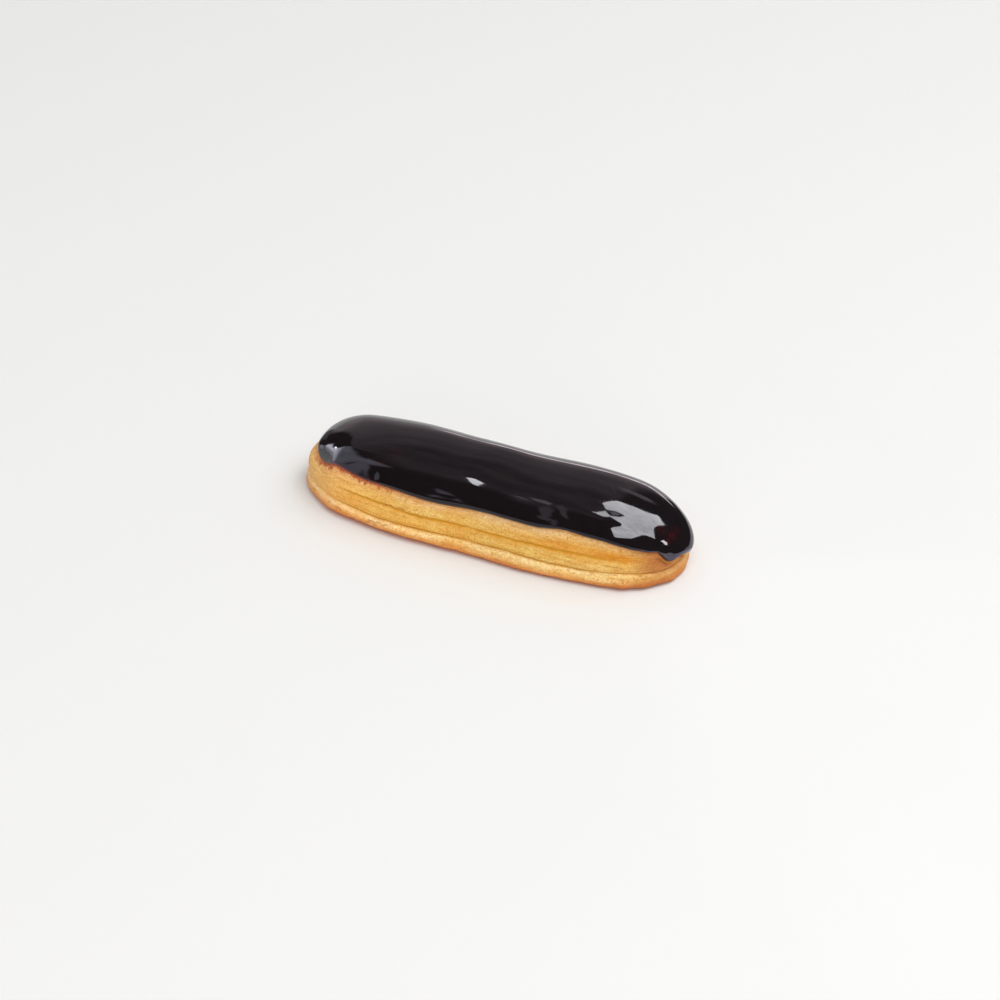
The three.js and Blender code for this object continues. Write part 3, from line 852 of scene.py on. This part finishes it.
warm.inputs[7].default_value = (0.99, 1.015, 1.035, 1.0)
wt.links.new(warm.outputs[2], tint.inputs[6])
blue = wnode("ShaderNodeMix", data_type="RGBA")
wt.links.new(wmath("MULTIPLY", pane, 1.0, clamp=True), blue.inputs[0])
blue.inputs[6].default_value = (1.0, 0.85, 0.91, 1.0)
blue.inputs[7].default_value = (1.0, 0.97, 1.14, 1.0)
wt.links.new(blue.outputs[2], tint.inputs[7])
# Beyond the floor the room is plain and pale.
plain = wnode("ShaderNodeMix", data_type="RGBA")
wt.links.new(path.outputs["Is Camera Ray"], plain.inputs[0])
wt.links.new(tint.outputs[2], plain.inputs[6])
plain.inputs[7].default_value = (1.0, 1.0, 0.985, 1.0)
wt.links.new(plain.outputs[2], bg.inputs["Color"])


def area(name, where, size, watts, colour=(1, 1, 1), look=(0, 0, 0.012)):
    d = bpy.data.lights.new(name, "AREA")
    d.shape = "RECTANGLE"
    d.size, d.size_y = size
    d.energy = watts
    d.color = colour
    o = bpy.data.objects.new(name, d)
    bpy.context.scene.collection.objects.link(o)
    o.location = where
    o.rotation_mode = "QUATERNION"
    o.rotation_quaternion = (Vector(look) - Vector(where)).to_track_quat("-Z", "Y")
    return o


key = area("key", tuple(towards(84, 54) * 2.4), (1.5, 1.3), 12.0)
fill = area("fill", tuple(towards(-166, 16) * 2.0), (1.7, 0.8), 6.0, (1.0, 0.84, 0.68))
top = area("top", tuple(towards(150, 62) * 3.0), (3.0, 1.8), 45.0, (0.985, 1.0, 1.005))
key.visible_glossy = fill.visible_glossy = top.visible_glossy = False


def card(name, points, glow, tint, soft=0.0):
    """A glowing outline that only reflections see. soft is the share of the way
    to its middle over which it fades in."""
    points = [np.array(q) for q in points]
    count = len(points)
    middle = sum(points) / count
    verts, faces = list(points), [tuple(range(count))]
    if soft:
        verts += [q + (middle - q) * soft for q in points]
        faces = [(k, (k + 1) % count, count + (k + 1) % count, count + k) for k in range(count)]
        faces.append(tuple(range(count, 2 * count)))
    mesh = bpy.data.meshes.new(name)
    mesh.from_pydata([tuple(q) for q in verts], [], faces)
    mesh.update()
    obj = bpy.data.objects.new(name, mesh)
    bpy.context.scene.collection.objects.link(obj)
    fade = mesh.attributes.new("fade", "FLOAT", "POINT")
    fade.data.foreach_set("value", [0.0 if soft else 1.0] * count + [1.0] * (len(verts) - count))
    mat = bpy.data.materials.new(name)
    mat.use_nodes = True
    tree = mat.node_tree
    tree.nodes.remove(tree.nodes["Principled BSDF"])
    em = tree.nodes.new("ShaderNodeEmission")
    em.inputs["Color"].default_value = (*tint, 1.0)
    em.inputs["Strength"].default_value = glow
    if name == "window":
        uneven = tree.nodes.new("ShaderNodeTexNoise")
        uneven.inputs["Scale"].default_value = 3.2
        level = tree.nodes.new("ShaderNodeMapRange")
        level.inputs["To Min"].default_value = glow * 0.55
        level.inputs["To Max"].default_value = glow * 1.45
        tree.links.new(tree.nodes.new("ShaderNodeTexCoord").outputs["Object"], uneven.inputs["Vector"])
        tree.links.new(uneven.outputs["Fac"], level.inputs["Value"])
        tree.links.new(level.outputs["Result"], em.inputs["Strength"])
    out = em.outputs[0]
    if soft:
        clear = tree.nodes.new("ShaderNodeBsdfTransparent")
        amount = tree.nodes.new("ShaderNodeAttribute")
        amount.attribute_name = "fade"
        blend = tree.nodes.new("ShaderNodeMixShader")
        tree.links.new(amount.outputs["Fac"], blend.inputs[0])
        tree.links.new(clear.outputs[0], blend.inputs[1])
        tree.links.new(out, blend.inputs[2])
        out = blend.outputs[0]
    tree.links.new(out, tree.nodes["Material Output"].inputs["Surface"])
    obj.data.materials.append(mat)
    obj.visible_camera = False
    obj.visible_diffuse = False
    obj.visible_shadow = False
    obj.visible_transmission = False
    obj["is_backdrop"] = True


# Low dark screens behind both ends, and a pale sheet in front of the right one.
for x, a0, a1, shine in ((-48.7, -46, -27, 0.22), (43.0, 33, 78, 0.04)):
    for k in range(a0, a1, 5):
        a, b = (np.array([x, 0.7, 0.3]) * MM + towards(t, 0) * 0.12 for t in (k, k + 5))
        up = np.array([0, 0, 0.019])
        card("screen", [a, b, b + up, a + up], shine, (1.0, 0.84, 0.94))
for k in range(92, 188, 8):
    a, b = (np.array([43.0, 0.7, 1.0]) * MM + towards(t, 0) * 0.032 for t in (k, k + 8))
    c, d = (np.array([43.0, 0.7, 1.0]) * MM + towards(t, 0) * 0.30 for t in (k, k + 8))
    card("sheet", [a, c, d, b], 1.3 * float(smooth(184, 150, k)) + 0.62, (0.98, 0.93, 1.15))
near_x, near_y = -RIGHT * 0.11, -FAR
a, b = (np.array([43.0, 0.7, 1.0]) * MM + near_y * t for t in (0.032, 0.30))
card("sheet", [a, b, b + near_x, a + near_x], 0.60, (0.98, 0.91, 1.18))

# Cards that are mirrored in the icing: name, middle in millimetres, compass
# angle and height that they face from, brightness, tint, soft share, and their
# outline in millimetres.
CARDS = [
    ('window', (274, 313, 832), 57, 64, 8.9, (1.0, 0.985, 1.0), 0, [(-257, 58), (-282, -68), (-282, -118),
     (-148, -298), (-127, -339), (-103, -464), (-121, -567), (-115, -569), (-103, -574), (-64, -563), (-59,
     -567), (-46, -576), (-37, -580), (10, -459), (58, -381), (113, -345), (297, -278), (291, -264), (268,
     -234), (242, -193), (256, -129), (528, 237), (904, 1297), (841, 1357), (194, 561), (139, 382), (113, 146),
     (72, 96), (51, 90), (-8, 143), (-76, 182), (-86, 185), (-88, 302), (-100, 330), (-127, 360), (-134, 365),
     (-128, 311), (-174, 148), (-168, 148), (-123, 174), (-95, 174), (-60, 26), (-61, -103), (-74, -87), (-152,
     16), (-176, 111), (-186, 125)]),
    ('window_inner', (78, 106, 299), 38, 67, 1.6, (1.0, 0.985, 1.0), 0, [(-15.6, 14.3), (-8.8, -6.2), (-3.1,
     -12.2), (3.6, -18.8), (16.9, -22.7), (10.5, 3.6), (-1, 22.8)]),
    ('spark', (-44, -38, 166), -100, 70, 13, (1.0, 0.98, 1.0), 0, [(13.2, -1.3), (13.9, 7.3), (8.1, 9.6), (1,
     10.9), (-19.6, -11.1), (-17.4, -13.8), (-12.9, -13.4)]),
    ('front_card_a', (-49, -125, 50), -138, 15, 1.0, (1.0, 1.0, 1.15), 0.3, [(6.7, 31.3), (0, 6.7), (-4.3,
     -17.3), (-1.6, -10.9), (-1.1, -13.2), (-0.9, -12.2), (-0.8, -12.7), (-0.7, -19)]),
    ('front_card_b', (3, -15, 81), -78, 71, 1.35, (1.0, 0.95, 1.05), 0.2, [(3.5, -4.7), (4.6, 1.6), (4.6, 2.1),
     (-0.7, 6), (-1.4, 6.5), (-7.9, 2), (-4.7, -3), (-1.8, -4.7)]),
    ('front_card_c', (-4, -72, 85), -130, 45, 0.52, (1.0, 0.98, 1.1), 0.3, [(18.6, 32.7), (22.3, 55.3), (11.1,
     44), (7.8, 40.9), (-11.6, -9.2), (-8.8, -8.6), (-19.9, -44.7), (-23.4, -91.3), (-8.1, -34.4), (-11, -35.5),
     (-3.8, -10.3)]),
    ('front_card_d', (-4, -59, 162), -121, 68, 0.58, (1.0, 0.98, 1.05), 0.3, [(30.4, 24.7), (34.3, 41.5), (15.2,
     30.6), (-41, -50.1), (-35.1, -50.1), (2.1, -2.1)]),
    ('streak_a', (76, 175, 122), 31, 30, 0.75, (1.0, 0.9, 0.95), 0.3, [(-42.6, 15.3), (-36.9, 9.4), (-33.5,
     3.9), (-9, -0.2), (2.8, -8.1), (23.4, -26.8), (32.8, -33.7), (37.6, -24.1), (36.5, -20.5), (31.4, -10.7),
     (29.1, -8.9), (3.5, 13.7), (-17.4, 26.8), (-28.9, 30.3), (-33.1, 30.4), (-35.3, 30.2)]),
    ('streak_b', (36, 157, 151), 20, 39, 0.5, (1.0, 0.92, 0.96), 0, [(-9.4, -21.3), (-7.8, -25.2), (8.5, 16.3),
     (8.2, 22.1)]),
    ('glint', (69, -4, 20), 86, 35, 14, (1.0, 0.95, 0.93), 0, [(-0.3, 2.7), (-1.7, 1.6), (-1.2, 0.5), (-0.8,
     -0.3), (1.4, -1.3), (1.4, 0.2), (0.1, 1.5)]),
    ('side_card', (-59, -26, 24), -109, 11, 1.05, (1.0, 0.97, 1.14), 0.12, [(39.5, -85.6), (7.1, 6.1), (4.2,
     8.9), (2.3, 9.2), (-0.3, 8.9), (-0.7, 9.9), (1, 19.1), (-3.2, 15.7), (-6.7, 10.9), (-8.4, 3.3), (-8.5, 2),
     (-11.3, -1.9), (-12.6, -9.8), (-10.8, -11.6), (-10.4, -12.2), (-7.9, 1.4), (-6, 1.7), (7.6, -85.6), (46.3,
     -85.6)]),
    ('side_card_small', (-47, -30, 25), -121, 15, 0.9, (1.0, 0.97, 1.1), 0, [(1.1, 0.9), (0.8, 1.4), (0.7, 3.4),
     (-0.2, 1.9), (-0.8, 1.8), (-1.3, -0.9), (-0.6, -4.3), (0.8, -2)]),
    ('star', (-72, 0, 26), -46, 13, 16, (1.0, 1.0, 1.05), 0, [(0.4, -0.8), (0.8, 0.1), (0.3, 0.5), (-1, 0.2),
     (-0.8, -0.7)]),
]
for name, middle, az, el, glow, tint, soft, outline in CARDS:
    n = -towards(az, el)
    u = np.cross([0, 0, 1.0], n)
    u /= np.linalg.norm(u)
    v = np.cross(n, u)
    card(name, [(np.array(middle) + u * a + v * b) * MM for a, b in outline], glow, tint, soft)

bpy.context.scene.view_settings.view_transform = "Standard"
bpy.context.scene.view_settings.look = "None"

lo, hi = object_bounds()
